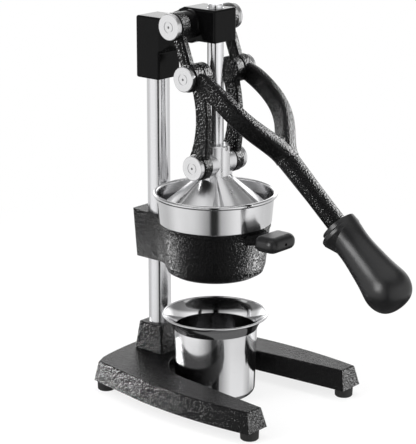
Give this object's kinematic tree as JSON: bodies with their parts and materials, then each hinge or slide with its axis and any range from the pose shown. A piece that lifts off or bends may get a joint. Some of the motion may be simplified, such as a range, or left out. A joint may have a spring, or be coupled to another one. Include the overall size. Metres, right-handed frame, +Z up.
{
  "type": "lever citrus press",
  "caption": "Upright lever press that squeezes half a citrus fruit: a hinged lever drives a fluted press head down a guide rod into a strainer over a bowl holder, spout and cup.",
  "frame": {"origin": "middle of the bottom of the bounding box, on the plane that the feet stand on", "axes": "+Z up, +X to the right of a user who stands at -Y and pulls the lever down"},
  "size_m": [0.1888, 0.3399, 0.3956],
  "materials": {
    "hammered_black": "hammered black enamel, semi-gloss",
    "gloss_black": "smooth gloss black enamel",
    "black_plastic": "satin black moulded",
    "dark_plastic": "plain bearing plastic",
    "foot_rubber": "matt black",
    "chrome": "bright chrome plate",
    "bright_steel": "turned bright",
    "steel": "zinc plated",
    "stainless": "polished stainless steel",
    "aluminium": "polished cast aluminium"
  },
  "bodies": {
    "root": {"base_casting": "hammered_black", "foot_screws": "steel", "column": "chrome", "column_plug": "steel", "column_washer": "steel", "column_bolt": "steel", "bowl_holder": "hammered_black", "holder_set_screws": "steel", "holder_knob": "black_plastic", "knob_screw": "steel", "strainer": "stainless", "reamer": "stainless", "head_casting": "gloss_black", "head_set_screws": "steel", "rod_bush": "dark_plastic", "foot_front_left": "foot_rubber", "foot_front_right": "foot_rubber", "foot_rear_left": "foot_rubber", "foot_rear_right": "foot_rubber", "top_bolt_right": "bright_steel", "top_bolt_left": "bright_steel", "top_washers": "bright_steel"},
    "lever": {"lever_casting": "hammered_black", "grip": "black_plastic", "grip_ferrule": "bright_steel", "mid_bolt_left": "bright_steel", "mid_bolt_right": "bright_steel", "mid_washers": "bright_steel"},
    "press": {"press_head": "aluminium", "guide_rod": "chrome", "cross_pin": "steel", "low_bolt_left": "bright_steel", "low_bolt_right": "bright_steel", "low_washers": "bright_steel"},
    "link_left": {"push_link_left": "hammered_black"},
    "link_right": {"push_link_right": "hammered_black"},
    "cup": {"cup": "stainless"}
  },
  "joints": [
    {"name": "lever_hinge", "type": "hinge", "parent": "root", "child": "lever", "pos_m": [0, 0.07948, 0.3765], "axis": [-1, 0, 0], "range_deg": [0, 85]},
    {"name": "press_slide", "type": "slide", "parent": "root", "child": "press", "axis": [0, 0, 1], "range_m": [0, 0.06745]},
    {"name": "link_left_hinge", "type": "hinge", "parent": "press", "child": "link_left", "pos_m": [0, 0.06148, 0.239], "axis": [1, 0, 0], "range_deg": [0, 20.53]},
    {"name": "link_right_hinge", "type": "hinge", "parent": "press", "child": "link_right", "pos_m": [0, 0.06148, 0.239], "axis": [1, 0, 0], "range_deg": [0, 20.53]},
    {"name": "cup_slide", "type": "slide", "parent": "root", "child": "cup", "axis": [0, -1, 0], "range_m": [0, 0.2]}
  ],
  "couplings": [
    {"joint": "press_slide", "follows": "lever_hinge", "m_per_rad": 0.045454},
    {"joint": "link_left_hinge", "follows": "lever_hinge", "ratio": 0.24152},
    {"joint": "link_right_hinge", "follows": "lever_hinge", "ratio": 0.24152}
  ]
}
